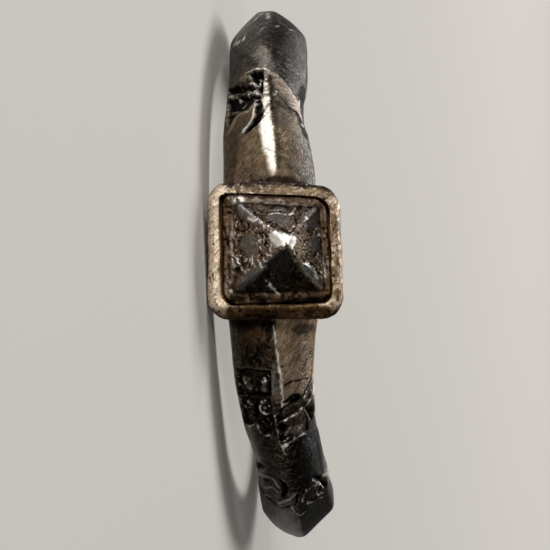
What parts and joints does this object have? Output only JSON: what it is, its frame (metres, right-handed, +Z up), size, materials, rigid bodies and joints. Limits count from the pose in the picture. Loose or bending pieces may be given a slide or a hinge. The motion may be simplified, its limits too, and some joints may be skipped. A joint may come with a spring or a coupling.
{
  "type": "silver finger ring",
  "caption": "Old silver finger ring with a ridged, leaf-engraved hoop and a square box bezel holding a low pyramid, lying on its side.",
  "frame": {"origin": "on the axis of the finger hole, at the middle of the hoop", "axes": "+Z up from the surface that the ring lies on, +Y from the bezel to the back of the hoop, +X along the hoop's front"},
  "size_m": [0.0234, 0.0261, 0.0058],
  "materials": {
    "silver": "worn, tarnished silver",
    "dark_silver": "dark, pitted silver, polished on its high parts"
  },
  "bodies": {
    "root": {"hoop_and_bezel": "silver", "pyramid": "dark_silver"}
  },
  "joints": []
}
